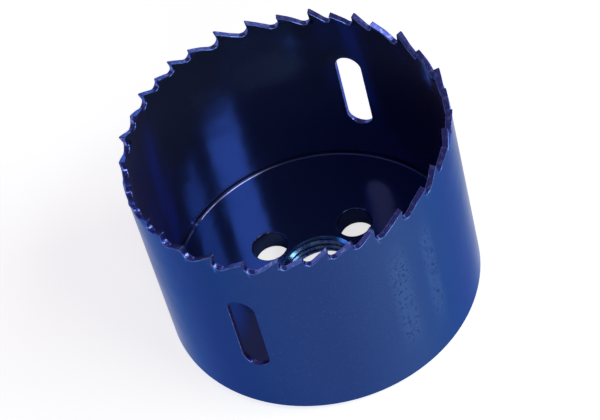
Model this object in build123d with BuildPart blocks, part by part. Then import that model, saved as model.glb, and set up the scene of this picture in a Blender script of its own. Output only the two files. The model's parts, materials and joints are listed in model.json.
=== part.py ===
from build123d import *
from math import cos, degrees, radians, sin, tan
import os

# Bi-metal hole saw: a toothed band, a thick end cap that stands a little out of its back
# end, and the weld in the step between them. +Z runs along the arbor axis towards the
# teeth. The origin is the centre of the cap's back face, on which the saw stands. Lengths
# are in millimetres and angles in degrees, counter-clockwise as seen from the teeth, from
# +X.

# ---- Band ----
SAW_DIAMETER = 64.0  # over the band, before the teeth are set
SAW_HEIGHT = 46.1  # back face to tooth tips
BAND_WALL = 1.28
BAND_FOOT_CHAMFER = 0.2  # outer corner of the back end

# ---- Slots for prising out the waste core, one on each side, on the Y axis ----
SLOT_WIDTH = 5.4
SLOT_LENGTH = 19.6
SLOT_FOOT_HEIGHT = 14.2  # back face to the slot's lower end
SLOT_EDGE_BREAK = 0.18

# ---- Teeth ----
# Each letter is the step from one tip to the next: coarse, medium or fine. The strip's
# seven-tooth repeat is broken once, where its two ends are welded together.
PITCH_STEPS = {"c": 11.6, "m": 10.0, "f": 8.4}
PITCH_RHYTHM = "ccccfffm mccfmfm cccffff ccmfffm mcccfff"
# Each letter is one tooth's set: outwards, inwards or straight.
SET_SIDES = {"o": 1, "i": -1, "s": 0}
SET_RHYTHM = "oisoioio iosiois oioioio isoioio soioioi"
FIRST_TIP_ANGLE = 101.0
TOOTH_SET = 0.4  # how far a tip leans off the wall
TOOTH_RELIEF = 0.04  # how far a straight tooth thins on each side, up to its tip
RAKE_ANGLE = 8.0  # hook of the cutting face
BACK_ANGLE = 31.0  # slope of the tooth's back
TIP_LAND = 0.22  # narrow flat left on each tip
GULLET_ROUND = 0.21  # gullet radius as a share of the pitch
BEND_SHARE = 0.8  # drop of the bend line, as a share of the shallowest gullet
BEND_THINNING = 0.15  # how far below the bend line the hollow side of a bent tooth starts
SIDE_CUT_OVERRUN = 0.3  # share by which a cut on a tooth's side runs past both ends
GULLET_SPLIT = 0.6  # part of each gullet's width that the neighbouring teeth leave between them

# ---- End cap ----
CAP_THICKNESS = 4.76
CAP_PROUD = 1.2  # how far the cap's back face stands out of the band's back end
CAP_RIM_BEVEL = 0.5  # corner turned down by the blanking die, on the inner side
CAP_BACK_BEVEL = 0.3  # corner of the back face
THREAD_MAJOR_DIAMETER = 15.88
THREAD_MINOR_DIAMETER = 14.4  # the plain bore that the thread is cut in
DRIVE_HOLE_DIAMETER = 7.2
DRIVE_HOLE_WEB = 1.16  # metal left between the thread's outer circle and each drive hole
DRIVE_HOLE_COUNT = 4
DRIVE_HOLE_ANGLE = 76.5  # first hole
DRIVE_HOLE_CHAMFER = 0.3

# ---- Weld, a bead in the step between the band's end and the cap's side ----
WELD_GROOVE = 0.4  # bevel on the band's inner corner, which the weld fills
WELD_LEG = 0.8  # reach of the bead along the band's end and down the cap's side

# ---- Worked out from the above ----
band_outer_radius = SAW_DIAMETER / 2
band_inner_radius = band_outer_radius - BAND_WALL
band_middle_radius = band_outer_radius - BAND_WALL / 2
thread_chamfer = (THREAD_MAJOR_DIAMETER - THREAD_MINOR_DIAMETER) / 2
drive_circle_radius = THREAD_MAJOR_DIAMETER / 2 + DRIVE_HOLE_WEB + DRIVE_HOLE_DIAMETER / 2
cutter_reach = BAND_WALL + TOOTH_SET  # half the depth of a cut through the wall


def pitch_angles():
    """Angle from each tip to the next, all the way round."""
    steps = [PITCH_STEPS[letter] for letter in PITCH_RHYTHM if letter != " "]
    return [step * 360 / sum(steps) for step in steps]


def set_offsets():
    """Lean of each tooth's tip, outwards positive."""
    return [SET_SIDES[letter] * TOOTH_SET for letter in SET_RHYTHM if letter != " "]


def tip_angles(pitches):
    """Angle of each tooth's tip."""
    return [FIRST_TIP_ANGLE + sum(pitches[:index]) for index in range(len(pitches))]


def gullet_floor(pitch):
    """Middle of the gullet ahead of a tip: distance along the band, and drop below the tip.

    The gullet's round touches the rake of its own tooth and the back of the next one.
    """
    span = band_middle_radius * radians(pitch)
    radius = GULLET_ROUND * span
    rake, back = radians(RAKE_ANGLE), radians(BACK_ANGLE)
    run = span - TIP_LAND - radius / cos(rake)
    height = (radius - run * sin(back)) / (cos(back) - tan(rake) * sin(back))
    along = radius / cos(rake) + height * tan(rake)
    return along, radius - height


def gullet_corner(pitch):
    """Where the lines of the rake and of the next tooth's back would meet."""
    run = band_middle_radius * radians(pitch) - TIP_LAND
    rake, back = tan(radians(RAKE_ANGLE)), tan(radians(BACK_ANGLE))
    drop = run * back / (1 - rake * back)
    return -drop * rake, -drop


def radial_plane(angle):
    """Plane through the axis, with X pointing outwards and Y up."""
    outwards = (cos(radians(angle)), sin(radians(angle)), 0)
    return Plane(origin=(0, 0, 0), x_dir=outwards, z_dir=(outwards[1], -outwards[0], 0))


def waste_section(side, lean):
    """Section of what is taken off one side of a tooth: side is 1 outside and -1 inside.

    Its slant starts on the wall just below the bend line and ends off the tip by the lean.
    """
    wall = band_outer_radius if side > 0 else band_inner_radius
    foot = bend_height - BEND_THINNING
    rise = SAW_HEIGHT - foot
    clear = wall + side * (TOOTH_SET + BAND_WALL)
    low, high = foot - rise * SIDE_CUT_OVERRUN, SAW_HEIGHT + rise * SIDE_CUT_OVERRUN
    return [
        (wall + side * lean * SIDE_CUT_OVERRUN, low),
        (wall - side * lean * (1 + SIDE_CUT_OVERRUN), high),
        (clear, high),
        (clear, low),
    ]


def wall_plane(angle):
    """Plane that faces outwards from the middle of the wall at the height of the tips."""
    outwards = Vector(cos(radians(angle)), sin(radians(angle)), 0)
    origin = outwards * band_middle_radius + Vector(0, 0, SAW_HEIGHT)
    return Plane(origin=origin, x_dir=(-outwards.Y, outwards.X, 0), z_dir=outwards)


def is_slot_rim(edge):
    """Whether an edge lies where a slot meets a face of the wall."""
    box = edge.bounding_box()
    margin = SLOT_EDGE_BREAK / 2
    in_slot = SLOT_FOOT_HEIGHT - margin < box.min.Z
    in_slot = in_slot and box.max.Z < SLOT_FOOT_HEIGHT + SLOT_LENGTH + margin
    crosses_wall = box.size.Y > BAND_WALL - margin
    return in_slot and not crosses_wall


pitches = pitch_angles()
tips = tip_angles(pitches)
floors = [gullet_floor(pitch) for pitch in pitches]
floor_angles = [tip + degrees(along / band_middle_radius) for tip, (along, _) in zip(tips, floors)]
split_angle = degrees(GULLET_SPLIT / band_middle_radius)
bend_height = SAW_HEIGHT - BEND_SHARE * min(drop for along, drop in floors)

# ---- Toothed band ----
with BuildPart() as toothed_band:
    # The strip in section, spread above the bend line as far as teeth lean either way.
    with BuildSketch(Plane.XZ):
        with BuildLine():
            Polyline(
                (band_inner_radius + WELD_GROOVE, CAP_PROUD),
                (band_outer_radius - BAND_FOOT_CHAMFER, CAP_PROUD),
                (band_outer_radius, CAP_PROUD + BAND_FOOT_CHAMFER),
                (band_outer_radius, bend_height),
                (band_outer_radius + TOOTH_SET, SAW_HEIGHT),
                (band_inner_radius - TOOTH_SET, SAW_HEIGHT),
                (band_inner_radius, bend_height),
                (band_inner_radius, CAP_PROUD + WELD_GROOVE),
                close=True,
            )
        make_face()
    revolve(axis=Axis.Z)
    # The two slots, cut in one pass along Y.
    with BuildSketch(Plane.XZ):
        with Locations((0, SLOT_FOOT_HEIGHT + SLOT_LENGTH / 2)):
            SlotOverall(SLOT_LENGTH, SLOT_WIDTH, rotation=90)
    extrude(amount=SAW_DIAMETER, both=True, mode=Mode.SUBTRACT)
    slot_edges = toothed_band.edges(Select.LAST).filter_by(is_slot_rim)
    chamfer(slot_edges, SLOT_EDGE_BREAK)
    # Each tooth leans one way or stands straight: what is off its line is taken away.
    for index, lean in enumerate(set_offsets()):
        start = floor_angles[index - 1] + split_angle / 2
        arc = (floor_angles[index] - split_angle / 2 - start) % 360
        for side in (1, -1):
            if lean * side > 0:
                continue
            with BuildSketch(radial_plane(start)):
                with BuildLine():
                    Polyline(*waste_section(side, abs(lean) or TOOTH_RELIEF), close=True)
                make_face()
            revolve(axis=Axis.Z, revolution_arc=arc, mode=Mode.SUBTRACT, clean=False)
    # One gullet ahead of each tip.
    for pitch, floor_angle, (along, drop) in zip(pitches, floor_angles, floors):
        span = band_middle_radius * radians(pitch)
        with BuildSketch(wall_plane(floor_angle)):
            with BuildLine():
                corner_x, corner_y = gullet_corner(pitch)
                Polyline(
                    (-along, TOOTH_SET),
                    (-along, 0),
                    (corner_x - along, corner_y),
                    (span - TIP_LAND - along, 0),
                    (span - TIP_LAND - along, TOOTH_SET),
                    close=True,
                )
            make_face()
            bottom = vertices().sort_by(Axis.Y)[0]
            fillet(bottom, radius=GULLET_ROUND * span)
        extrude(amount=cutter_reach, both=True, mode=Mode.SUBTRACT, clean=False)

# ---- End cap ----
with BuildPart() as end_cap:
    with BuildSketch():
        Circle(band_inner_radius)
    extrude(amount=CAP_THICKNESS)
    rims = end_cap.edges().filter_by(GeomType.CIRCLE).sort_by(Axis.Z)
    chamfer(rims[-1], CAP_RIM_BEVEL)
    chamfer(rims[0], CAP_BACK_BEVEL)
    with Locations((0, 0, CAP_THICKNESS)):
        Hole(THREAD_MINOR_DIAMETER / 2)
    chamfer(end_cap.edges(Select.LAST).filter_by(GeomType.CIRCLE), thread_chamfer)
    drive_holes = PolarLocations(
        drive_circle_radius, DRIVE_HOLE_COUNT, start_angle=DRIVE_HOLE_ANGLE
    )
    with Locations((0, 0, CAP_THICKNESS)), drive_holes:
        Hole(DRIVE_HOLE_DIAMETER / 2)
    chamfer(end_cap.edges(Select.LAST).filter_by(GeomType.CIRCLE), DRIVE_HOLE_CHAMFER)

# ---- Weld in the step between band and cap ----
with BuildPart() as weld_ring:
    with BuildSketch(Plane.XZ):
        with BuildLine():
            Polyline(
                (band_inner_radius, CAP_PROUD + WELD_GROOVE),
                (band_inner_radius, CAP_PROUD - WELD_LEG),
                (band_inner_radius + WELD_LEG, CAP_PROUD),
                (band_inner_radius + WELD_GROOVE, CAP_PROUD),
                close=True,
            )
        make_face()
    revolve(axis=Axis.Z)

pieces = {"toothed_band": toothed_band, "end_cap": end_cap, "weld_ring": weld_ring}
os.makedirs("parts", exist_ok=True)
for name, piece in pieces.items():
    piece.part.label = name
    export_step(piece.part, f"parts/{name}.step")
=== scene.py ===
"""Dressed model of a hole saw: a painted toothed band, a tapped end cap and the weld between them.

Lengths are in metres and angles in degrees, counter-clockwise from +X as seen from the teeth.
"""
import json
import logging
from dataclasses import dataclass, field
from enum import Enum
from itertools import combinations
from math import acos, asin, atan2, cos, degrees, hypot, pi, radians, sin, tan

import bpy
from bpy.types import Material, Node, NodeSocket, NodeTree, Object, ShaderNodeTree
from mathutils import Matrix, Vector

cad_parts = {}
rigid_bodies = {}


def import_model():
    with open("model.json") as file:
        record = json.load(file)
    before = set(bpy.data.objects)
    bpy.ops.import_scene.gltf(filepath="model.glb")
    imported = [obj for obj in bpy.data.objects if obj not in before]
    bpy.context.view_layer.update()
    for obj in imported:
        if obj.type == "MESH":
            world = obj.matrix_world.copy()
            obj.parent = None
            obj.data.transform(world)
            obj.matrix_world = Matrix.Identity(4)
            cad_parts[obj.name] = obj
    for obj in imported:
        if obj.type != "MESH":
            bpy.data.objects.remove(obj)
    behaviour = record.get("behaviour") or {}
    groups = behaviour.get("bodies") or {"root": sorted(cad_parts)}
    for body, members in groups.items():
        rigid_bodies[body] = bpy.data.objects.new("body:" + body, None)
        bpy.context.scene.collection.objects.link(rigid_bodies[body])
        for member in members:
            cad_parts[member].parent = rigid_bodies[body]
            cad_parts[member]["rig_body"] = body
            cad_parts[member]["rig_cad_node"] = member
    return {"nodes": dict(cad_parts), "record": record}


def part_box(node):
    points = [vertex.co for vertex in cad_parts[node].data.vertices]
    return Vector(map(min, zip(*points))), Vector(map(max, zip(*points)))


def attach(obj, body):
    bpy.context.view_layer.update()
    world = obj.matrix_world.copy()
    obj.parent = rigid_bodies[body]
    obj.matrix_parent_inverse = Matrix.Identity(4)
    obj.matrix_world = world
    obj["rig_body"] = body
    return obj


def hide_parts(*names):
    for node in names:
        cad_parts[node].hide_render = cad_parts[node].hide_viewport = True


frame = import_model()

logging.basicConfig(level=logging.INFO, format="%(message)s")
log = logging.getLogger("hole_saw")

MM = 0.001
MERGE_DISTANCE = 0.001 * MM
ON_SURFACE = 0.004 * MM  # how near to a wall's radius a vertex of that wall lies
SAW_RADIUS = 32.0 * MM  # over the band, before the teeth are set
WHITE = (1.0, 1.0, 1.0, 1.0)
VALUE_SOCKET = "NodeSocketFloat"
CORNER = "corner"  # attribute: how sharply the surface turns at a vertex
CUT_FACE = "cut_face"  # attribute: whether a face is cut through the wall
LARGE_FACE = 0.8 * MM**2  # a face this large is no part of a rounded corner

Colour = tuple[float, float, float]
Profile = list[tuple[float, float]]
Value = NodeSocket | float | tuple[float, ...]


class Slot(Enum):
    """The record's material slots."""

    BAND = "band_enamel"
    CAP = "cap_enamel"
    WELD = "weld_enamel"


# ---- Modelling helpers ----


def pick(piece: Object) -> None:
    """Make one piece the only selected object and the active one.

    Args:
        piece: the object to select.
    """
    if bpy.context.object and bpy.context.object.mode != "OBJECT":
        bpy.ops.object.mode_set(mode="OBJECT")
    bpy.ops.object.select_all(action="DESELECT")
    piece.select_set(True)
    bpy.context.view_layer.objects.active = piece


def edit(piece: Object, selected: bool = True) -> None:
    """Open a piece in edit mode with all or none of it selected.

    Args:
        piece: the object to edit.
        selected: whether all of it is selected.
    """
    pick(piece)
    bpy.ops.object.mode_set(mode="EDIT")
    bpy.ops.mesh.select_all(action="SELECT" if selected else "DESELECT")


def close_up(piece: Object) -> None:
    """Merge a piece's doubled vertices and turn its faces outwards.

    Args:
        piece: the object to clean.
    """
    edit(piece)
    bpy.ops.mesh.remove_doubles(threshold=MERGE_DISTANCE)
    bpy.ops.mesh.normals_make_consistent(inside=False)
    bpy.ops.object.mode_set(mode="OBJECT")


def smooth(piece: Object, angle: float) -> None:
    """Shade a piece smooth, with its edges sharper than an angle left crisp.

    Args:
        piece: the object to shade.
        angle: the sharpest angle, in degrees, that is still shaded smooth.
    """
    pick(piece)
    bpy.ops.object.shade_smooth_by_angle(angle=radians(angle))


def apply_modifier(piece: Object, kind: str, **settings: object) -> None:
    """Add one modifier to a piece, set it and apply it.

    Args:
        piece: the object to modify.
        kind: the modifier's type.
        settings: values for the modifier's properties.
    """
    modifier = piece.modifiers.new(kind.lower(), kind)
    for name, value in settings.items():
        setattr(modifier, name, value)
    pick(piece)
    bpy.ops.object.modifier_apply(modifier=modifier.name)


def discard(piece: Object) -> None:
    """Delete a helper object and its mesh.

    Args:
        piece: the object to delete.
    """
    mesh = piece.data
    bpy.data.objects.remove(piece)
    bpy.data.meshes.remove(mesh)


def turn(
    name: str,
    profile: Profile,
    steps: int,
    centre: tuple[float, float] = (0.0, 0.0),
    solid: bool = False,
) -> Object:
    """Turn a profile about a vertical axis, ring by ring.

    Args:
        name: the new piece's name.
        profile: radius and height of each corner, in metres.
        steps: faces round the axis.
        centre: where the axis stands in X and Y.
        solid: whether the first and last rings are filled, as on a drill, or joined, as on a tube.

    Returns:
        The turned piece, with its place in its mesh.
    """
    bpy.ops.object.select_all(action="DESELECT")
    (radius, height), *others = profile
    bpy.ops.mesh.primitive_circle_add(vertices=steps, radius=radius, location=(*centre, height))
    piece = bpy.context.object
    piece.name = piece.data.name = name
    bpy.ops.object.transform_apply(location=True, rotation=True, scale=True)
    edit(piece)
    for next_radius, next_height in others if solid else [*others, profile[0]]:
        bpy.ops.mesh.extrude_edges_move()
        bpy.ops.transform.translate(value=(0, 0, next_height - height))
        ratio = next_radius / radius
        bpy.ops.transform.resize(value=(ratio, ratio, 1), center_override=(*centre, next_height))
        radius, height = next_radius, next_height
    if solid:
        bpy.ops.mesh.select_all(action="DESELECT")
        bpy.ops.mesh.select_non_manifold()
        bpy.ops.mesh.fill_holes(sides=steps)
    close_up(piece)
    return piece


def arc(
    centre: tuple[float, float], radius: float, start: float, sweep: float, steps: int = 6
) -> Profile:
    """Points along an arc of a profile.

    Args:
        centre: radius and height of the arc's centre.
        radius: the arc's own radius.
        start: direction of its first point, in degrees from straight outwards.
        sweep: how far it goes round, in degrees.
        steps: pieces that it is divided into.

    Returns:
        The points from the arc's start to its end.
    """
    angles = [radians(start + sweep * step / steps) for step in range(steps + 1)]
    return [(centre[0] + radius * cos(a), centre[1] + radius * sin(a)) for a in angles]


def cut(piece: Object, cutter: Object) -> None:
    """Take one piece's volume out of another and delete the cutter.

    Args:
        piece: what is cut.
        cutter: what is taken away.
    """
    apply_modifier(piece, "BOOLEAN", operation="DIFFERENCE", solver="EXACT", object=cutter)
    discard(cutter)


def shade_by_faces(piece: Object, angle: float) -> None:
    """Shade a piece smooth with each corner's normals led by the large faces beside it.

    Args:
        piece: the object to shade.
        angle: the sharpest angle, in degrees, that is still shaded smooth.
    """
    smooth(piece, angle)
    apply_modifier(piece, "WEIGHTED_NORMAL", keep_sharp=True, weight=100, thresh=0.0)


def mark_corners(piece: Object, mild: float, full: float) -> None:
    """Write down how sharply the surface turns at each vertex, from 0 to 1.

    Args:
        piece: the object to mark.
        mild: the turn, in degrees, up to which a vertex counts as flat.
        full: the turn from which it counts as a corner.
    """
    mesh = piece.data
    facing: list[list[Vector]] = [[] for _ in mesh.vertices]
    largest = [0.0] * len(mesh.vertices)
    for face in mesh.polygons:
        for index in face.vertices:
            facing[index].append(face.normal)
            largest[index] = max(largest[index], face.area)
    layer = mesh.attributes.new(CORNER, "FLOAT", "POINT")
    for item, normals, area in zip(layer.data, facing, largest):
        turned = max(degrees(one.angle(other, 0.0)) for one, other in combinations(normals, 2))
        share = min(max((turned - mild) / (full - mild), 0.0), 1.0)
        item.value = share if area < LARGE_FACE else 0.0


def mark_cut_faces(piece: Object, least: float) -> None:
    """Write down which faces are cut through the wall rather than part of it, as 0 or 1.

    Args:
        piece: the object to mark.
        least: how far, in degrees, a cut face is turned away from the line to the axis.
    """
    layer = piece.data.attributes.new(CUT_FACE, "FLOAT", "FACE")
    for face in piece.data.polygons:
        outwards = Vector((face.center.x, face.center.y, 0)).normalized()
        away = degrees(acos(min(abs(face.normal.dot(outwards)), 1.0)))
        layer.data[face.index].value = float(away > least)


def finish_piece(piece: Object, slot: Slot, material: Material, *stands_for: str) -> None:
    """Dress a piece, put it on the saw's body and hide the nodes that it stands for.

    Args:
        piece: the finished object.
        slot: the record's slot that its finish comes from; not used.
        material: what it is painted with.
        stands_for: the nodes that it replaces.
    """
    piece.data.materials.clear()
    piece.data.materials.append(material)
    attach(piece, "root")
    if stands_for:
        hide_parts(*stands_for)
    log.info("%s: %d faces", piece.name, len(piece.data.polygons))


# ---- Shader groups ----


@dataclass(frozen=True)
class Stretch:
    """A stretch of a value, such as an angle in radians or a height, with soft ends."""

    middle: float
    reach: float  # to each side of the middle
    soft: float  # how much of the reach is the soft end

    @classmethod
    def of_angle(cls, middle: float, reach: float, soft: float) -> "Stretch":
        """Make a stretch of an angle that is given in degrees."""
        return cls(radians(middle), radians(reach), radians(soft))


@dataclass(frozen=True)
class Grain:
    """A noise pattern, and for spots the range of it over which a spot comes up."""

    scale: float  # per metre
    detail: float  # finer layers
    low: float = 0.0
    high: float = 1.0


PEEL = Grain(1100.0, 3.0)
SLOW_WAVES = Grain(120.0, 1.0)
GRIT = Grain(3000.0, 1.0, 0.62, 0.74)
CORNER_BREAKS = Grain(700.0, 3.0, 0.3, 0.6)
# spots of painted glints on cut faces
CUT_FACE_GLINTS = Grain(1200.0, 2.0, 0.52, 0.66)
WEAR = Grain(350.0, 4.0)
PITS = Grain(1600.0, 1.0, 0.58, 0.63)
CORNER_LEAST = 0.4  # how thin the coat, and how faint its painted highlight, is on a corner between its breaks
# two sides of the outside painted lighter: painted reflection
NEAR_LIT_SIDE = Stretch.of_angle(-20.0, 44.0, 38.0)
FAR_LIT_SIDE = Stretch.of_angle(-138.0, 42.0, 34.0)
FAR_LIT_SHARE = 1.6  # how strong the painted reflection on the far side is beside the near one
WIDE_BAND = Stretch.of_angle(-33.0, 6.0, 4.5)
NARROW_BAND = Stretch.of_angle(-19.5, 4.5, 3.5)
BAND_HEIGHTS = Stretch(24 * MM, 18 * MM, 10 * MM)
WEAR_GAIN, WEAR_LEAST = 0.8, 0.35


@dataclass
class Group:
    """A shader node group under construction, whose inputs and outputs are plain values."""

    name: str
    tree: ShaderNodeTree = field(init=False)
    inlet: Node = field(init=False)
    outlet: Node = field(init=False)

    def __post_init__(self) -> None:
        """Make the empty group."""
        self.tree = bpy.data.node_groups.new(self.name, "ShaderNodeTree")
        self.inlet = self.tree.nodes.new("NodeGroupInput")
        self.outlet = self.tree.nodes.new("NodeGroupOutput")

    def take(self, name: str) -> NodeSocket:
        """Add an input.

        Args:
            name: the socket's name.

        Returns:
            The input as a source for the group's own nodes.
        """
        self.tree.interface.new_socket(name, in_out="INPUT", socket_type=VALUE_SOCKET)
        return self.inlet.outputs[name]

    def give(self, name: str, source: NodeSocket) -> None:
        """Add an output and connect it.

        Args:
            name: the socket's name.
            source: what feeds it.
        """
        self.tree.interface.new_socket(name, in_out="OUTPUT", socket_type=VALUE_SOCKET)
        self.tree.links.new(source, self.outlet.inputs[name])


@dataclass
class Wiring:
    """Short calls for the nodes that the finishes share."""

    tree: NodeTree

    def node(self, kind: str, **settings: object) -> Node:
        """Add a node.

        Args:
            kind: the node's type.
            settings: values for its properties.

        Returns:
            The new node.
        """
        made = self.tree.nodes.new(kind)
        for name, value in settings.items():
            setattr(made, name, value)
        return made

    def group(self, name: str, **values: Value) -> Node:
        """Place a shared group and set its inputs.

        Args:
            name: the group's name.
            values: its inputs by name.

        Returns:
            The placed group.
        """
        made = self.node("ShaderNodeGroup", node_tree=GROUPS[name])
        for socket, value in values.items():
            self.feed(made.inputs[socket], value)
        return made

    def feed(self, socket: NodeSocket, value: Value) -> None:
        """Set a socket, or link it where the value is another socket.

        Args:
            socket: the input to feed.
            value: a number, a vector, a colour or an output socket.
        """
        if isinstance(value, NodeSocket):
            self.tree.links.new(value, socket)
        else:
            socket.default_value = value

    def maths(self, operation: str, *values: Value, clamp: bool = False) -> NodeSocket:
        """Add a Math node.

        Args:
            operation: what it works out.
            values: its inputs in order.
            clamp: whether its result stays between 0 and 1.

        Returns:
            Its result.
        """
        made = self.node("ShaderNodeMath", operation=operation, use_clamp=clamp)
        for socket, value in zip(made.inputs, values):
            self.feed(socket, value)
        return made.outputs[0]

    def ramp(self, value: Value, low: Value, high: Value) -> NodeSocket:
        """Map a range smoothly to 0 to 1.

        Args:
            value: what is mapped.
            low: the value that gives 0.
            high: the value that gives 1.

        Returns:
            The mapped value.
        """
        made = self.node("ShaderNodeMapRange", interpolation_type="SMOOTHSTEP")
        for name, given in (("Value", value), ("From Min", low), ("From Max", high)):
            self.feed(made.inputs[name], given)
        return made.outputs["Result"]

    def window(self, value: Value, stretch: Stretch) -> NodeSocket:
        """Mask a stretch of a value.

        Args:
            value: what is masked.
            stretch: where it is let through.

        Returns:
            1 inside the stretch and 0 outside it.
        """
        off = self.maths("ABSOLUTE", self.maths("SUBTRACT", value, stretch.middle))
        return self.ramp(off, stretch.reach, stretch.reach - stretch.soft)

    def mix(self, share: Value, first: Value, second: Value) -> NodeSocket:
        """Mix two colours.

        Args:
            share: how much of the second, from 0 to 1.
            first: the first colour.
            second: the second colour.

        Returns:
            The mixed colour.
        """
        made = self.node("ShaderNodeMix", data_type="RGBA")
        self.feed(made.inputs["Factor"], share)
        self.feed(made.inputs[6], first)
        self.feed(made.inputs[7], second)
        return made.outputs[2]

    def noise(self, place: NodeSocket, grain: Grain) -> NodeSocket:
        """Add a noise pattern.

        Args:
            place: the coordinates it reads.
            grain: the pattern.

        Returns:
            Its value, about 0.5 on average.
        """
        made = self.node("ShaderNodeTexNoise")
        self.feed(made.inputs["Vector"], place)
        self.feed(made.inputs["Scale"], grain.scale)
        self.feed(made.inputs["Detail"], grain.detail)
        return made.outputs["Fac"]

    def spots(self, place: NodeSocket, grain: Grain) -> NodeSocket:
        """Add the spots where a noise pattern is high.

        Args:
            place: the coordinates it reads.
            grain: the pattern.

        Returns:
            1 in a spot and 0 beside it.
        """
        return self.ramp(self.noise(place, grain), grain.low, grain.high)


def saw_place_group() -> NodeTree:
    """Build the saw's own coordinates.

    Returns:
        The group. It gives the distance from the axis and the height in metres, and the angle
        in radians.
    """
    group = Group("saw_place")
    wire = Wiring(group.tree)
    parts = wire.node("ShaderNodeSeparateXYZ")
    wire.feed(parts.inputs[0], wire.node("ShaderNodeTexCoord").outputs["Object"])
    along_x, along_y, height = parts.outputs
    square = wire.maths("MULTIPLY_ADD", along_x, along_x, wire.maths("MULTIPLY", along_y, along_y))
    group.give("Radius", wire.maths("SQRT", square))
    group.give("Height", height)
    group.give("Angle", wire.maths("ARCTAN2", along_y, along_x))
    return group.tree


def paint_skin_group() -> NodeTree:
    """Build the skin of sprayed and stoved lacquer: orange peel, fine grit and slow waves.

    Returns:
        The group. It gives a height, a slow patchiness and the grit on its own, from 0 to 1.
    """
    group = Group("paint_skin")
    peel_share = group.take("Peel")
    grit_share = group.take("Grit")
    wire = Wiring(group.tree)
    place = wire.node("ShaderNodeTexCoord").outputs["Object"]
    grit = wire.spots(place, GRIT)
    height = wire.maths("MULTIPLY", wire.noise(place, PEEL), peel_share)
    group.give("Height", wire.maths("MULTIPLY_ADD", grit, grit_share, height))
    group.give("Patches", wire.noise(place, SLOW_WAVES))
    group.give("Specks", grit)
    return group.tree


def thin_coat_and_glint_group() -> NodeTree:
    """Build the masks of corners, where wet lacquer draws back and a highlight is painted,
    and of cut faces and their spots of painted glints.

    Returns:
        The group. It gives the corners, broken up along them, the cut faces and their spots
        of painted glints, from 0 to 1.
    """
    group = Group("thin_coat_and_glints")
    wire = Wiring(group.tree)
    corner = wire.node("ShaderNodeAttribute", attribute_name=CORNER).outputs["Fac"]
    place = wire.node("ShaderNodeTexCoord").outputs["Object"]
    cut_face = wire.node("ShaderNodeAttribute", attribute_name=CUT_FACE).outputs["Fac"]
    breaks = wire.spots(place, CORNER_BREAKS)
    # corners: thinner lacquer and a painted highlight, broken up along them
    thin_and_lit = wire.maths("MULTIPLY_ADD", breaks, 1 - CORNER_LEAST, CORNER_LEAST)
    group.give("Corners", wire.maths("MULTIPLY", corner, thin_and_lit))
    group.give("Cut Faces", cut_face)
    # painted glints: light spots on the cut faces
    group.give("Glints", wire.maths("MULTIPLY", wire.spots(place, CUT_FACE_GLINTS), cut_face))
    return group.tree


def lit_and_rubbed_marks_group() -> NodeTree:
    """Build the lighter sides, a painted reflection, and the marks of handling: two upright matt
    bands in the near side and their pits.

    Returns:
        The group. It gives the lighter sides (painted reflection), the bands and the pits, from 0
        to 1.
    """
    group = Group("lit_and_rubbed_marks")
    angle = group.take("Angle")
    height = group.take("Height")
    wire = Wiring(group.tree)
    place = wire.node("ShaderNodeTexCoord").outputs["Object"]
    # painted reflection on both sides of the outside
    far_lit_side = wire.maths("MULTIPLY", wire.window(angle, FAR_LIT_SIDE), FAR_LIT_SHARE)
    bands = wire.maths("MAXIMUM", wire.window(angle, WIDE_BAND), wire.window(angle, NARROW_BAND))
    bands = wire.maths("MULTIPLY", bands, wire.window(height, BAND_HEIGHTS))
    worn = wire.maths("MULTIPLY_ADD", wire.noise(place, WEAR), WEAR_GAIN, WEAR_LEAST)
    bands = wire.maths("MULTIPLY", bands, worn)
    group.give("Side", wire.maths("MAXIMUM", wire.window(angle, NEAR_LIT_SIDE), far_lit_side))
    group.give("Bands", bands)
    group.give("Pits", wire.maths("MULTIPLY", wire.spots(place, PITS), bands))
    return group.tree


GROUPS = {
    "saw_place": saw_place_group(),
    "paint_skin": paint_skin_group(),
    "thin_coat_and_glints": thin_coat_and_glint_group(),
    "lit_and_rubbed_marks": lit_and_rubbed_marks_group(),
}


# ---- Finishes ----


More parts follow.
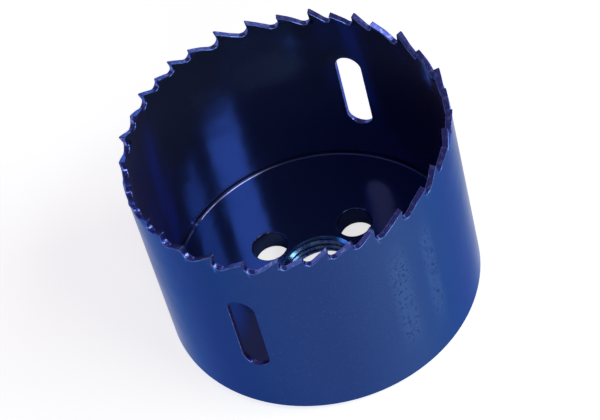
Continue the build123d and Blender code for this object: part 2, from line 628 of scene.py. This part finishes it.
@dataclass(frozen=True)
class Lacquer:
    """Glossy blue lacquer over bright steel, outside, inside and on corners, with painted light
    and shade.
    """

    name: str
    inside_from: float  # distance from the axis below which the coat is the inner one
    outside: Colour = (0.017, 0.043, 0.172)
    inside: Colour = (0.064, 0.112, 0.255)
    # on corners: thinner lacquer and a painted highlight
    corner: Colour = (0.07, 0.15, 0.42)
    # lighter colour of the sides (painted reflection) and of the rubbed matt bands
    lit_and_rubbed: Colour = (0.045, 0.096, 0.265)
    pit_shade: Colour = (0.008, 0.02, 0.09)  # painted shade in the pits of the matt bands
    edge: Colour = (0.072, 0.095, 0.38)  # on faces cut through the wall: thinner lacquer and a painted highlight
    cut_face_glint: Colour = (0.3, 0.38, 0.7)  # painted glints in spots on those faces
    thread: Colour = (0.25, 0.6, 0.7)
    # painted highlight along the cap's bead
    bead: Colour = (0.4, 0.42, 0.65)
    dusty: Colour = (0.4, 0.42, 0.6)
    thread_radius: float = 0.0  # distance from the axis within which the thread lies
    bead_radius: float = 1.0  # distance from the axis beyond which the cap's bead lies
    bead_foot: float = 0.0  # height above which it lies
    bead_highlight_arc: Stretch = Stretch.of_angle(153.0, 29.0, 12.0)  # where the bead's highlight is painted
    metallic: float = 0.9
    roughness: float = 0.13
    outside_rougher: float = 0.08
    patch_rougher: float = 0.1
    band_rougher: float = 0.12
    lit_side_share: float = 0.55  # how much of the lighter colour shows on each mark; on the sides it is painted reflection
    band_share: float = 0.65
    # how strong the painted highlight on the bead is
    bead_highlight_share: float = 0.8
    # how strong the painted shade in the pits is
    pit_shade_share: float = 0.8
    # how strong the painted glints are
    glint_share: float = 0.45
    dust: float = 0.05
    peel: float = 1.0  # heights of the skin's parts, in units of the bump's height
    grit: float = 1.0
    waves: float = 22.0
    pit_depth: float = 6.0
    bump: float = 0.35
    bump_height: float = 0.012 * MM
    specular: float = 0.3
    edge_tint: Colour = (0.3, 0.42, 0.75)  # of what the metal mirrors at a glancing angle
    sheen: float = 0.12
    sheen_roughness: float = 0.5
    sheen_tint: Colour = (0.5, 0.46, 1.0)
    mask_edge: float = 0.05 * MM  # half the width over which one coat turns into the next

    def build(self) -> Material:
        """Make the material.

        Returns:
            The finished material.
        """
        material = bpy.data.materials.new(self.name)
        material.use_nodes = True
        wire = Wiring(material.node_tree)
        shader = material.node_tree.nodes["Principled BSDF"]
        skin = wire.group("paint_skin", Peel=self.peel, Grit=self.grit)
        place = wire.group("saw_place")
        marks = wire.group(
            "lit_and_rubbed_marks", Angle=place.outputs["Angle"], Height=place.outputs["Height"]
        )
        edge = self.mask_edge
        outer = wire.ramp(
            place.outputs["Radius"], self.inside_from - edge, self.inside_from + edge
        )
        pits = wire.maths("MULTIPLY", marks.outputs["Pits"], outer)
        colour = self.coat_colour(wire, marks, outer, pits)
        colour = self.detail_colour(wire, colour, place, skin)
        wire.feed(shader.inputs["Base Color"], colour)
        wire.feed(shader.inputs["Roughness"], self.coat_roughness(wire, skin, marks, outer))
        wire.feed(shader.inputs["Normal"], self.coat_normal(wire, skin, pits))
        for name, value in (
            ("Metallic", self.metallic),
            ("Specular IOR Level", self.specular),
            ("Specular Tint", (*self.edge_tint, 1)),
            ("Sheen Weight", self.sheen),
            ("Sheen Roughness", self.sheen_roughness),
            ("Sheen Tint", (*self.sheen_tint, 1)),
        ):
            wire.feed(shader.inputs[name], value)
        return material

    def coat_colour(
        self, wire: Wiring, marks: Node, outer: NodeSocket, pits: NodeSocket
    ) -> NodeSocket:
        """Mix the inner coat with the outer one, its lighter sides (painted reflection), its
        rubbed bands and the painted shade in their pits.

        Args:
            wire: the material's wiring.
            marks: the lighter sides (painted reflection) and the marks of handling.
            outer: the mask of the outer coat.
            pits: the mask of the pits in it.

        Returns:
            The coat's colour.
        """
        # lighter on the sides as painted reflection, and in the rubbed matt bands
        share = wire.maths("MULTIPLY", marks.outputs["Side"], self.lit_side_share)
        share = wire.maths("MULTIPLY_ADD", marks.outputs["Bands"], self.band_share, share)
        coat = wire.mix(share, (*self.outside, 1), (*self.lit_and_rubbed, 1))
        colour = wire.mix(outer, (*self.inside, 1), coat)
        # painted shade in the pits
        return wire.mix(wire.maths("MULTIPLY", pits, self.pit_shade_share), colour, (*self.pit_shade, 1))

    def detail_colour(
        self, wire: Wiring, colour: NodeSocket, place: Node, skin: Node
    ) -> NodeSocket:
        """Lay the colours of cut faces, thread, bead, corners and dust over the coat's.

        The bead's colour is a painted highlight, the cut faces' and corners' are partly one, and
        the spots on cut faces are painted glints.

        Args:
            wire: the material's wiring.
            colour: the coat's colour.
            place: the saw's coordinates.
            skin: the skin of the lacquer.

        Returns:
            The finished colour.
        """
        radius, angle, height = (place.outputs[name] for name in ("Radius", "Angle", "Height"))
        thin_and_lit, soft = wire.group("thin_coat_and_glints"), 2 * self.mask_edge
        # painted highlight: the bead lighter over an arc of its ring
        bead = wire.maths("MULTIPLY", wire.window(angle, self.bead_highlight_arc), self.bead_highlight_share)
        for ramp in (
            wire.ramp(radius, self.bead_radius, self.bead_radius + soft),
            wire.ramp(height, self.bead_foot, self.bead_foot + soft),
        ):
            bead = wire.maths("MULTIPLY", bead, ramp)
        # cut faces and corners: thinner lacquer and painted highlight; spots: painted glints;
        # bead: painted highlight
        for share, paint in (
            (thin_and_lit.outputs["Cut Faces"], self.edge),
            (wire.maths("MULTIPLY", thin_and_lit.outputs["Glints"], self.glint_share), self.cut_face_glint),
            (wire.ramp(radius, self.thread_radius, self.thread_radius - soft), self.thread),
            (bead, self.bead),
            (thin_and_lit.outputs["Corners"], self.corner),
            (wire.maths("MULTIPLY", skin.outputs["Specks"], self.dust), self.dusty),
        ):
            colour = wire.mix(share, colour, (*paint, 1))
        return colour

    def coat_roughness(
        self, wire: Wiring, skin: Node, marks: Node, outer: NodeSocket
    ) -> NodeSocket:
        """Make the roughness: slightly patchy, rougher outside and most in the matt bands.

        Args:
            wire: the material's wiring.
            skin: the skin of the lacquer.
            marks: the marks of handling.
            outer: the mask of the outer coat.

        Returns:
            The roughness.
        """
        least = self.roughness - self.patch_rougher / 2
        rough = wire.maths("MULTIPLY_ADD", outer, self.outside_rougher, least)
        rough = wire.maths("MULTIPLY_ADD", skin.outputs["Patches"], self.patch_rougher, rough)
        matt = wire.maths("MULTIPLY", marks.outputs["Bands"], outer)
        return wire.maths("MULTIPLY_ADD", matt, self.band_rougher, rough)

    def coat_normal(self, wire: Wiring, skin: Node, pits: NodeSocket) -> NodeSocket:
        """Make the relief of the skin, the slow waves and the pits.

        Args:
            wire: the material's wiring.
            skin: the skin of the lacquer.
            pits: the mask of the pits.

        Returns:
            The normal.
        """
        height = wire.maths("MULTIPLY_ADD", pits, -self.pit_depth, skin.outputs["Height"])
        height = wire.maths("MULTIPLY_ADD", skin.outputs["Patches"], self.waves, height)
        bump = wire.node("ShaderNodeBump")
        for name, value in (
            ("Strength", self.bump),
            ("Distance", self.bump_height),
            ("Height", height),
        ):
            wire.feed(bump.inputs[name], value)
        return bump.outputs["Normal"]


# ---- The saw ----


@dataclass
class ToothedBand:
    """The rolled strip with its slots and set teeth, its corners softened by the lacquer."""

    outer_radius: float
    inner_radius: float
    top: float
    tooth_zone: float = 4.0 * MM  # from the tips down to where the wall is plain
    corner_angle: float = 28.0  # edges sharper than this are rounded
    plain_round: float = 0.1 * MM
    gullet_round: float = 0.24 * MM
    tip_round: float = 0.05 * MM
    round_steps: int = 3
    gullet_from: float = 0.8 * MM  # below the tips, where rounding starts to grow
    gullet_full: float = 2.0 * MM
    smooth_angle: float = 50.0
    guide_angle: float = 40.0
    guide_steps: int = 256
    flat_angle: float = 0.5  # faces turned less than this to each other become one

    def build(self, finish: Material) -> Object:
        """Round the corners of a copy of the band.

        Args:
            finish: the lacquer.

        Returns:
            The finished band.
        """
        band = self.copy_node()
        self.weigh_edges(band)
        apply_modifier(
            band,
            "BEVEL",
            width=self.gullet_round,
            segments=self.round_steps,
            limit_method="WEIGHT",
            use_clamp_overlap=False,
        )
        self.trim_tips(band)
        mark_corners(band, mild=22.0, full=30.0)
        mark_cut_faces(band, least=50.0)
        shade_by_faces(band, self.smooth_angle)
        self.true_walls(band)
        finish_piece(band, Slot.BAND, finish, "toothed_band")
        return band

    def copy_node(self) -> Object:
        """Copy the band's node as one closed mesh of large faces.

        Returns:
            The copy.
        """
        source = frame["nodes"]["toothed_band"]
        band = source.copy()
        band.data = source.data.copy()
        band.name = band.data.name = "painted_band"
        band.parent = None
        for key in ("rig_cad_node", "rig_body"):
            del band[key]
        bpy.context.scene.collection.objects.link(band)
        pick(band)
        bpy.ops.mesh.customdata_custom_splitnormals_clear()
        close_up(band)
        edit(band)
        bpy.ops.mesh.dissolve_limited(angle_limit=radians(self.flat_angle))
        bpy.ops.mesh.select_all(action="SELECT")
        seam = (0, 0, self.top - self.tooth_zone)
        bpy.ops.mesh.bisect(plane_co=seam, plane_no=(0, 0, 1))
        bpy.ops.object.mode_set(mode="OBJECT")
        return band

    def weigh_edges(self, band: Object) -> None:
        """Say how far each sharp edge is rounded: most in the gullets, least at the tips.

        Args:
            band: the band before its corners are rounded.
        """
        edit(band, selected=False)
        bpy.ops.mesh.select_mode(type="EDGE")
        bpy.ops.mesh.edges_select_sharp(sharpness=radians(self.corner_angle))
        bpy.ops.object.mode_set(mode="OBJECT")
        mesh = band.data
        layer = mesh.attributes.new("bevel_weight_edge", "FLOAT", "EDGE")
        for edge in mesh.edges:
            if edge.select:
                heights = [mesh.vertices[index].co.z for index in edge.vertices]
                layer.data[edge.index].value = self.rounding(heights) / self.gullet_round

    def rounding(self, heights: list[float]) -> float:
        """Choose an edge's rounding by where it lies.

        Args:
            heights: heights of the edge's two ends.

        Returns:
            The rounding's width.
        """
        drop = self.top - sum(heights) / len(heights)
        if self.top - max(heights) < MERGE_DISTANCE:
            return self.tip_round
        if drop > self.tooth_zone:
            return self.plain_round
        share = (drop - self.gullet_from) / (self.gullet_full - self.gullet_from)
        share = min(max(share, 0.0), 1.0)
        return self.plain_round + share * (self.gullet_round - self.plain_round)

    def trim_tips(self, band: Object) -> None:
        """Press what rises past the tips back to their height.

        Args:
            band: the rounded band.
        """
        edit(band, selected=False)
        bpy.ops.mesh.select_mode(type="VERT")
        bpy.ops.object.mode_set(mode="OBJECT")
        for vertex in band.data.vertices:
            vertex.select = vertex.co.z > self.top
        bpy.ops.object.mode_set(mode="EDIT")
        bpy.ops.transform.resize(value=(1, 1, 0), center_override=(0, 0, self.top))
        bpy.ops.object.mode_set(mode="OBJECT")

    def true_walls(self, band: Object) -> None:
        """Give the plain walls the normals of a true cylinder.

        Args:
            band: the rounded band.
        """
        plain_top = self.top - self.gullet_from
        profile = [
            (self.inner_radius, 0.0),
            (self.outer_radius, 0.0),
            (self.outer_radius, self.top),
            (self.inner_radius, self.top),
        ]
        guide = turn("wall_guide", profile, self.guide_steps)
        smooth(guide, self.guide_angle)
        walls = band.vertex_groups.new(name="walls")
        for vertex in band.data.vertices:
            radius = hypot(vertex.co.x, vertex.co.y)
            off = min(abs(radius - self.inner_radius), abs(radius - self.outer_radius))
            if off < ON_SURFACE and vertex.co.z < plain_top:
                walls.add([vertex.index], 1.0, "REPLACE")
        apply_modifier(
            band,
            "DATA_TRANSFER",
            object=guide,
            use_loop_data=True,
            data_types_loops={"CUSTOM_NORMAL"},
            loop_mapping="POLYINTERP_NEAREST",
            vertex_group="walls",
        )
        discard(guide)


@dataclass
class EndCap:
    """The thick disc in the band's back end, drilled, and tapped for the arbor."""

    outer_radius: float
    thickness: float
    minor_radius: float
    drive_circle: float
    drive_radius: float
    major_radius: float = 7.94 * MM
    thread_pitch: float = 25.4 / 18 * MM
    thread_angle: float = 30.0  # slope of each flank
    drive_angle: float = 76.5
    drive_count: int = 4
    drive_round: float = 0.3 * MM
    rim_round: float = 0.5 * MM  # radius of the bead of lacquer round the front face
    rim_proud: float = 0.16 * MM
    rim_steps: int = 12
    rim_foot: float = 2.5  # where the bead runs out on the face, in radii of the bead
    seam: float = 170.0  # where the band is joined, and the bead broken
    seam_reach: float = 2.2
    back_bevel: float = 0.3 * MM
    turned_steps: int = 256
    drill_steps: int = 96
    thread_steps: int = 96
    thread_turns: int = 6
    turns_below: float = 1.5  # of the tap, before the back face
    smooth_angle: float = 35.0
    overrun: float = 1.0 * MM  # how far a cutter goes past a face

    def build(self, finish: Material) -> Object:
        """Turn the disc, drill it and tap it.

        Args:
            finish: the lacquer.

        Returns:
            The finished cap.
        """
        cap = self.turn_disc()
        for index in range(self.drive_count):
            cut(cap, self.drill(self.drive_angle + 360 / self.drive_count * index))
        cut(cap, self.tap())
        close_up(cap)
        mark_corners(cap, mild=30.0, full=60.0)
        shade_by_faces(cap, self.smooth_angle)
        finish_piece(cap, Slot.CAP, finish, "end_cap")
        return cap

    def turn_disc(self) -> Object:
        """Turn the disc with its bore, the bore's bevels and the rolled rim.

        Returns:
            The plain disc.
        """
        depth = self.major_radius - self.minor_radius
        profile = [
            (self.minor_radius, depth),
            (self.major_radius, 0.0),
            (self.outer_radius - self.back_bevel, 0.0),
            (self.outer_radius, self.back_bevel),
        ]
        middle = self.thickness + self.rim_proud - self.rim_round
        rim = (self.outer_radius - self.rim_round, middle)
        foot = 180 - degrees(asin(1 - self.rim_proud / self.rim_round))
        profile += arc(rim, self.rim_round, 0.0, foot, steps=self.rim_steps)
        profile += [
            (self.outer_radius - self.rim_foot * self.rim_round, self.thickness),
            (self.major_radius, self.thickness),
            (self.minor_radius, self.thickness - depth),
        ]
        disc = turn("tapped_cap", profile, self.turned_steps)
        self.break_bead(disc)
        return disc

    def break_bead(self, disc: Object) -> None:
        """Press the bead flat where the band is joined.

        Args:
            disc: the plain disc.
        """
        edit(disc, selected=False)
        bpy.ops.mesh.select_mode(type="VERT")
        bpy.ops.object.mode_set(mode="OBJECT")
        for vertex in disc.data.vertices:
            off = degrees(atan2(vertex.co.y, vertex.co.x)) - self.seam
            raised = vertex.co.z > self.thickness - self.rim_proud
            rimmed = hypot(vertex.co.x, vertex.co.y) > self.outer_radius - 2 * self.rim_round
            vertex.select = abs(off) < self.seam_reach and raised and rimmed
        bpy.ops.object.mode_set(mode="EDIT")
        level = self.thickness - self.rim_proud
        bpy.ops.transform.resize(value=(1, 1, 0), center_override=(0, 0, level))
        bpy.ops.object.mode_set(mode="OBJECT")

    def drill(self, angle: float) -> Object:
        """Make the drill for one drive hole, flared where the hole's corners are rounded.

        Args:
            angle: where the hole stands on its circle.

        Returns:
            The cutter.
        """
        place = radians(angle)
        centre = (self.drive_circle * cos(place), self.drive_circle * sin(place))
        flare = self.drive_radius + self.drive_round
        profile = [(flare, -self.overrun)]
        profile += arc((flare, self.drive_round), self.drive_round, 270.0, -90.0)
        high = self.thickness - self.drive_round
        profile += arc((flare, high), self.drive_round, 180.0, -90.0)
        profile.append((flare, self.thickness + self.overrun))
        return turn("drive_drill", profile, self.drill_steps, centre, solid=True)

    def tap(self) -> Object:
        """Make the tap: one V-shaped ridge that winds through the bore.

        Returns:
            The cutter.
        """
        inner = self.minor_radius - self.overrun / 4
        depth = self.major_radius - inner
        crest = self.thread_pitch / 8
        foot = crest + 2 * depth * tan(radians(self.thread_angle))
        start = -self.turns_below * self.thread_pitch
        bpy.ops.object.select_all(action="DESELECT")
        bpy.ops.mesh.primitive_plane_add(
            size=1.0, location=(inner + depth / 2, 0, start), rotation=(pi / 2, 0, 0)
        )
        ridge = bpy.context.object
        ridge.name = "tap"
        ridge.scale = (depth, foot, 1)
        bpy.ops.object.transform_apply(location=True, rotation=True, scale=True)
        edit(ridge, selected=False)
        bpy.ops.object.mode_set(mode="OBJECT")
        for vertex in ridge.data.vertices:
            vertex.select = vertex.co.x > inner + depth / 2
        bpy.ops.object.mode_set(mode="EDIT")
        squeeze = (1, 1, crest / foot)
        bpy.ops.transform.resize(value=squeeze, center_override=(self.major_radius, 0, start))
        bpy.ops.object.mode_set(mode="OBJECT")
        apply_modifier(
            ridge,
            "SCREW",
            angle=2 * pi,
            screw_offset=self.thread_pitch,
            iterations=self.thread_turns,
            steps=self.thread_steps,
            render_steps=self.thread_steps,
            use_smooth_shade=False,
        )
        edit(ridge)
        bpy.ops.mesh.remove_doubles(threshold=MERGE_DISTANCE)
        bpy.ops.mesh.select_all(action="DESELECT")
        bpy.ops.mesh.select_mode(type="EDGE")
        bpy.ops.mesh.select_non_manifold()
        bpy.ops.mesh.fill_holes(sides=4)
        bpy.ops.mesh.select_mode(type="VERT")
        close_up(ridge)
        return ridge


@dataclass
class Weld:
    """The rippled bead in the step between the band's end and the cap's side."""

    inner_radius: float
    outer_radius: float
    low: float
    high: float
    step: float  # height of the band's end
    bulge: float = 0.1 * MM
    ripple: float = 0.07 * MM
    ripples: int = 170
    ripple_steps: int = 4
    smooth_angle: float = 60.0

    def build(self, finish: Material) -> Object:
        """Turn the bead and raise its ripples.

        Args:
            finish: the lacquer.

        Returns:
            The finished bead.
        """
        root = self.high - self.step
        lean = Vector((self.outer_radius - self.inner_radius, self.step - self.low)).normalized()
        middle = Vector(
            ((self.inner_radius + self.outer_radius) / 2, (self.low + self.step) / 2)
        ) + self.bulge * Vector((lean.y, -lean.x))
        profile = [
            (self.inner_radius, self.high),
            (self.inner_radius, self.low),
            (middle.x, middle.y),
            (self.outer_radius, self.step),
            (self.inner_radius + root, self.step),
        ]
        bead = turn("weld_bead", profile, self.ripples * self.ripple_steps)
        self.raise_ripples(bead, middle.x)
        smooth(bead, self.smooth_angle)
        mark_corners(bead, mild=60.0, full=90.0)
        finish_piece(bead, Slot.WELD, finish, "weld_ring")
        return bead

    def raise_ripples(self, bead: Object, radius: float) -> None:
        """Lift the crest of the bead once in each ripple.

        Args:
            bead: the plain bead.
            radius: distance of its crest from the axis.
        """
        edit(bead, selected=False)
        bpy.ops.object.mode_set(mode="OBJECT")
        for vertex in bead.data.vertices:
            on_crest = abs(hypot(vertex.co.x, vertex.co.y) - radius) < ON_SURFACE
            turned = atan2(vertex.co.y, vertex.co.x) / (2 * pi)
            step = round(turned * self.ripples * self.ripple_steps)
            vertex.select = on_crest and step % self.ripple_steps == 0
        bpy.ops.object.mode_set(mode="EDIT")
        ratio = 1 + self.ripple / radius
        bpy.ops.transform.resize(value=(ratio, ratio, 1), center_override=(0, 0, 0))
        bpy.ops.object.mode_set(mode="OBJECT")


# ---- Studio ----


@dataclass(frozen=True)
class Lamp:
    """A soft rectangular lamp, aimed at the saw."""

    name: str
    azimuth: float  # from the camera's right, counter-clockwise
    elevation: float
    size: tuple[float, float]
    power: float  # watts


@dataclass
class Studio:
    """Pale floor, soft lamps and the camera."""

    lamps: tuple[Lamp, ...] = (
        Lamp("key", -44.0, 49.0, (0.3, 0.28), 1.2),
        Lamp("front", -90.0, 20.0, (0.45, 0.25), 2.0),
        Lamp("second", -5.0, 51.0, (0.2, 0.2), 0.36),
        Lamp("right", -12.0, 28.0, (0.5, 0.22), 2.3),
    )
    lamp_distance: float = 0.9
    floor_size: float = 3.0
    floor_top: float = -0.02 * MM  # a hair below the saw, so that no two faces coincide
    floor_colour: Colour = (0.72, 0.79, 0.71)
    floor_roughness: float = 0.9
    floor_glow: float = 0.7
    shade_from: float = 18.0 * MM  # under the saw, the floor that the lacquer mirrors is in shade
    shade_to: float = 33.0 * MM
    sky_colour: Colour = (0.92, 0.66, 1.0)
    sky_level: float = 0.2
    sky_seen: float = 0.95
    pale_from: float = 0.35  # height, on a sphere of radius 1, up to which the background is pale
    pale_to: float = 0.6
    middle: float = 20.0 * MM  # height that the lamps are aimed at
    bearing: float = 31.66
    reach: float = 312.407 * MM  # camera to the saw's axis
    height: float = 379.997 * MM
    pan: float = -0.17744
    tilt: float = 48.7934
    roll: float = -16.0261
    lens: float = 144.759
    sensor: float = 36.0

    def build(self) -> None:
        """Make the floor, the lamps, the world and the camera."""
        self.lay_floor()
        self.light_world()
        self.hang_lamps()
        self.set_camera()

    def toward(self, azimuth: float, elevation: float, distance: float) -> Vector:
        """Place something round the saw as the camera sees it.

        Args:
            azimuth: degrees from the camera's right, counter-clockwise; -90 is the camera's side.
            elevation: degrees above the floor.
            distance: metres from the middle of the saw.

        Returns:
            The place.
        """
        round_axis, up = radians(azimuth + self.bearing), radians(elevation)
        flat = distance * cos(up)
        return Vector(
            (flat * cos(round_axis), flat * sin(round_axis), self.middle + distance * sin(up))
        )

    def lay_floor(self) -> None:
        """Lay the pale floor, which isn't part of the object."""
        bpy.ops.object.select_all(action="DESELECT")
        bpy.ops.mesh.primitive_plane_add(size=self.floor_size, location=(0, 0, self.floor_top))
        floor = bpy.context.object
        floor.name = "floor"
        material = bpy.data.materials.new("floor_paper")
        material.use_nodes = True
        shader = material.node_tree.nodes["Principled BSDF"]
        shader.inputs["Base Color"].default_value = (*self.floor_colour, 1)
        shader.inputs["Roughness"].default_value = self.floor_roughness
        shader.inputs["Specular IOR Level"].default_value = 0.0
        wire = Wiring(material.node_tree)
        path = wire.node("ShaderNodeLightPath")
        radius = wire.group("saw_place").outputs["Radius"]
        beside = wire.ramp(radius, self.shade_from, self.shade_to)
        mirrored = wire.maths("MULTIPLY", path.outputs["Is Glossy Ray"], beside)
        seen = wire.maths("ADD", path.outputs["Is Camera Ray"], mirrored, clamp=True)
        seen = wire.maths("ADD", seen, path.outputs["Is Transmission Ray"], clamp=True)
        shader.inputs["Emission Color"].default_value = WHITE
        glow = wire.maths("MULTIPLY", seen, self.floor_glow)
        wire.feed(shader.inputs["Emission Strength"], glow)
        floor.data.materials.append(material)

    def light_world(self) -> None:
        """Fill the surroundings with a soft light and show them pale to the camera."""
        world = bpy.data.worlds.new("studio")
        bpy.context.scene.world = world
        world.use_nodes = True
        wire = Wiring(world.node_tree)
        sky = world.node_tree.nodes["Background"]
        path = wire.node("ShaderNodeLightPath")
        passed = path.outputs["Is Glossy Ray"], path.outputs["Is Transmission Ray"]
        parts = wire.node("ShaderNodeSeparateXYZ")
        wire.feed(parts.inputs[0], wire.node("ShaderNodeTexCoord").outputs["Generated"])
        low = wire.ramp(parts.outputs["Z"], self.pale_to, self.pale_from)
        mirrored = wire.maths("MULTIPLY", wire.maths("ADD", *passed), low)
        seen = wire.maths("ADD", path.outputs["Is Camera Ray"], mirrored, clamp=True)
        wire.feed(sky.inputs["Color"], wire.mix(seen, (*self.sky_colour, 1), WHITE))
        extra = self.sky_seen - self.sky_level
        strength = wire.maths("MULTIPLY_ADD", seen, extra, self.sky_level)
        wire.feed(sky.inputs["Strength"], strength)

    def hang_lamps(self) -> None:
        """Hang the soft lamps."""
        for lamp in self.lamps:
            place = self.toward(lamp.azimuth, lamp.elevation, self.lamp_distance)
            bpy.ops.object.light_add(type="AREA", location=place)
            hung = bpy.context.object
            hung.name = f"{lamp.name}_lamp"
            hung.data.shape = "RECTANGLE"
            hung.data.size, hung.data.size_y = lamp.size
            hung.data.energy = lamp.power
            aim = Vector((0, 0, self.middle)) - place
            hung.rotation_euler = aim.to_track_quat("-Z", "Y").to_euler()

    def set_camera(self) -> None:
        """Set the camera above the front of the saw, tipped to one side."""
        bearing, tilt, roll = radians(self.bearing), radians(self.tilt), radians(self.roll)
        place = (self.reach * sin(bearing), -self.reach * cos(bearing), self.height)
        bpy.ops.object.camera_add(location=place)
        camera = bpy.context.object
        heading = bearing - radians(self.pan)
        forward = Vector((-sin(heading) * cos(tilt), cos(heading) * cos(tilt), -sin(tilt)))
        level = Vector((cos(heading), sin(heading), 0))
        above = level.cross(forward)
        right = cos(roll) * level + sin(roll) * above
        up = -sin(roll) * level + cos(roll) * above
        camera.rotation_euler = Matrix((right, up, -forward)).transposed().to_euler()
        camera.data.sensor_width = self.sensor
        camera.data.lens = self.lens
        bpy.context.scene.camera = camera


def main() -> None:
    """Build the saw and its studio."""
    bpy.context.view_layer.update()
    mounts = {mount["name"]: mount["dims"] for mount in frame["record"]["mounts"]}
    band_box, cap_box, weld_box = (
        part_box(node) for node in ("toothed_band", "end_cap", "weld_ring")
    )
    cap_radius, cap_top = cap_box[1].x, cap_box[1].z
    split = (cap_radius + SAW_RADIUS) / 2
    band_paint = Lacquer("band_enamel", inside_from=split).build()
    cap_paint = Lacquer(
        "cap_enamel",
        inside_from=split,
        inside=(0.068, 0.108, 0.255),
        thread_radius=EndCap.major_radius + 0.1 * MM,
        bead_radius=cap_radius - 0.9 * MM,
        bead_foot=cap_top - 0.4 * MM,
        roughness=0.14,
        dust=0.14,
    ).build()
    weld_paint = Lacquer("weld_enamel", inside_from=split, roughness=0.2, peel=2.0).build()
    ToothedBand(SAW_RADIUS, cap_radius, band_box[1].z).build(band_paint)
    EndCap(
        outer_radius=cap_radius,
        thickness=cap_top,
        minor_radius=mounts["arbor_thread"]["r_mm"] * MM,
        drive_circle=mounts["drive_holes"]["pcd_mm"] / 2 * MM,
        drive_radius=mounts["drive_holes"]["hole_r_mm"] * MM,
    ).build(cap_paint)
    Weld(
        inner_radius=cap_radius,
        outer_radius=weld_box[1].x,
        low=weld_box[0].z,
        high=weld_box[1].z,
        step=band_box[0].z,
    ).build(weld_paint)
    Studio().build()
    bpy.context.scene.view_settings.view_transform = "Standard"


if __name__ == "__main__":
    main()
